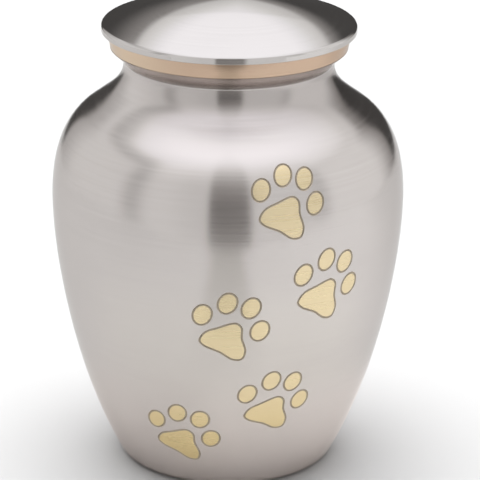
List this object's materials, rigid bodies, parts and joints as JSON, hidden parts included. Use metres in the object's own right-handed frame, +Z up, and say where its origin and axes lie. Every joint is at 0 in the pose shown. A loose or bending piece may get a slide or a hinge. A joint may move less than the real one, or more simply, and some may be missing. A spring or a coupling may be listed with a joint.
{
  "type": "pet cremation urn",
  "caption": "Hollow baluster urn in pewter-finished brass with a brass neck band, a low domed lift-off lid and engraved brass paw prints climbing its front.",
  "frame": {"origin": "middle of the flat underside, on the surface that the urn stands on", "axes": "+Z up along the turning axis, -Y out of the front that carries the paw prints"},
  "size_m": [0.1288, 0.1288, 0.1713],
  "materials": {
    "pewter_finish": "brass with a satin pewter-coloured finish, brushed round on the lathe; the paw prints are bared brass inside dark engraved lines",
    "brass": "plain turned brass, satin, lacquered"
  },
  "bodies": {
    "root": {"urn_body": "pewter_finish", "neck_band": "brass", "lid": "pewter_finish"}
  },
  "joints": []
}
